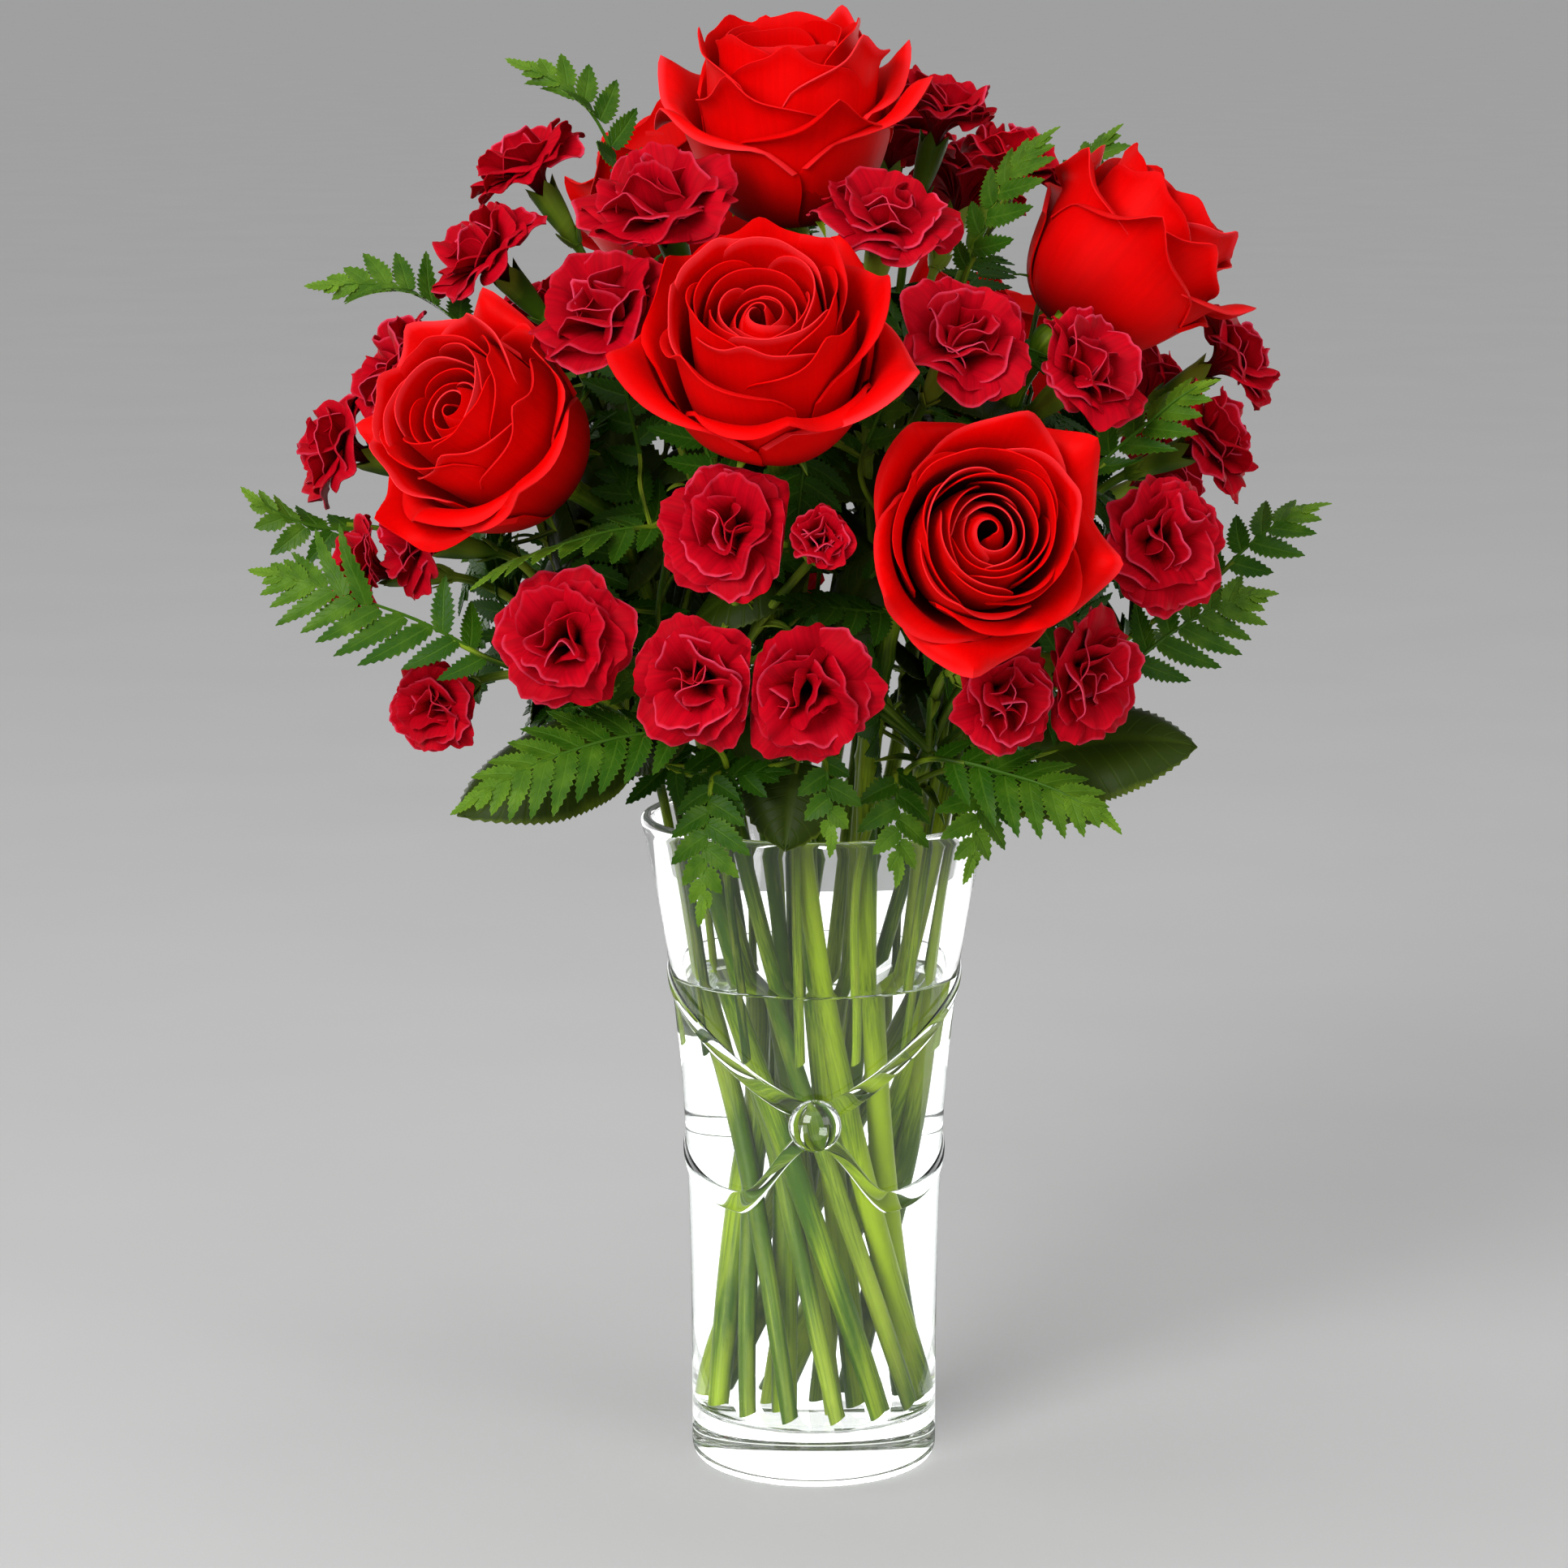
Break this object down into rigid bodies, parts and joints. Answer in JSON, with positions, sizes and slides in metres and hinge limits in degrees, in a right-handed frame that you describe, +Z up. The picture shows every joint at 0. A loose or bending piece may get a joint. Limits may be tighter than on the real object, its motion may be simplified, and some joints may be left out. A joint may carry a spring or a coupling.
{
  "type": "carnations in a vase",
  "caption": "Bouquet of red roses, crimson spray carnations, fern and broad leaves standing in a flared clear glass vase with water.",
  "frame": {"origin": "centre of the flat foot of the vase, on the surface that it stands on", "axes": "+Z up along the axis of the vase; -Y is the front, with the round boss of the glass ribbon; +X to the right seen from the front"},
  "size_m": [0.3515, 0.3018, 0.496],
  "materials": {
    "vase_glass": "clear polished pressed glass",
    "water": "clear still water",
    "rose_petal": "soft velvety petal, bright red",
    "rose_stem": "satin green stem",
    "carnation_petal": "ruffled velvety petal, crimson",
    "carnation_stem": "waxy grey-green stem",
    "fern_leaf": "leathery satin green leaflet",
    "broad_leaf": "glossy dark green leaf"
  },
  "bodies": {
    "root": {"vase": "vase_glass", "water": "water", "rose_bloom_1": "rose_petal", "rose_bloom_2": "rose_petal", "rose_bloom_3": "rose_petal", "rose_bloom_4": "rose_petal", "rose_bloom_5": "rose_petal", "rose_bloom_6": "rose_petal", "rose_bloom_7": "rose_petal", "rose_stem_1": "rose_stem", "rose_stem_2": "rose_stem", "rose_stem_3": "rose_stem", "rose_stem_4": "rose_stem", "rose_stem_5": "rose_stem", "rose_stem_6": "rose_stem", "rose_stem_7": "rose_stem", "carnation_bloom_01": "carnation_petal", "carnation_bloom_02": "carnation_petal", "carnation_bloom_03": "carnation_petal", "carnation_bloom_04": "carnation_petal", "carnation_bloom_05": "carnation_petal", "carnation_bloom_06": "carnation_petal", "carnation_bloom_07": "carnation_petal", "carnation_bloom_08": "carnation_petal", "carnation_bloom_09": "carnation_petal", "carnation_bloom_10": "carnation_petal", "carnation_bloom_11": "carnation_petal", "carnation_bloom_12": "carnation_petal", "carnation_bloom_13": "carnation_petal", "carnation_bloom_14": "carnation_petal", "carnation_bloom_15": "carnation_petal", "carnation_bloom_16": "carnation_petal", "carnation_bloom_17": "carnation_petal", "carnation_bloom_18": "carnation_petal", "carnation_bloom_19": "carnation_petal", "carnation_bloom_20": "carnation_petal", "carnation_bloom_21": "carnation_petal", "carnation_stem_01": "carnation_stem", "carnation_stem_02": "carnation_stem", "carnation_stem_03": "carnation_stem", "carnation_stem_04": "carnation_stem", "carnation_stem_05": "carnation_stem", "carnation_stem_06": "carnation_stem", "carnation_stem_07": "carnation_stem", "carnation_stem_08": "carnation_stem", "carnation_stem_09": "carnation_stem", "carnation_stem_10": "carnation_stem", "fern_frond_1": "fern_leaf", "fern_frond_2": "fern_leaf", "fern_frond_3": "fern_leaf", "fern_frond_4": "fern_leaf", "fern_frond_5": "fern_leaf", "fern_frond_6": "fern_leaf", "fern_frond_7": "fern_leaf", "fern_frond_8": "fern_leaf", "fern_frond_9": "fern_leaf", "leaf_stem_1": "broad_leaf", "leaf_stem_2": "broad_leaf", "leaf_stem_3": "broad_leaf", "leaf_stem_4": "broad_leaf"}
  },
  "joints": []
}
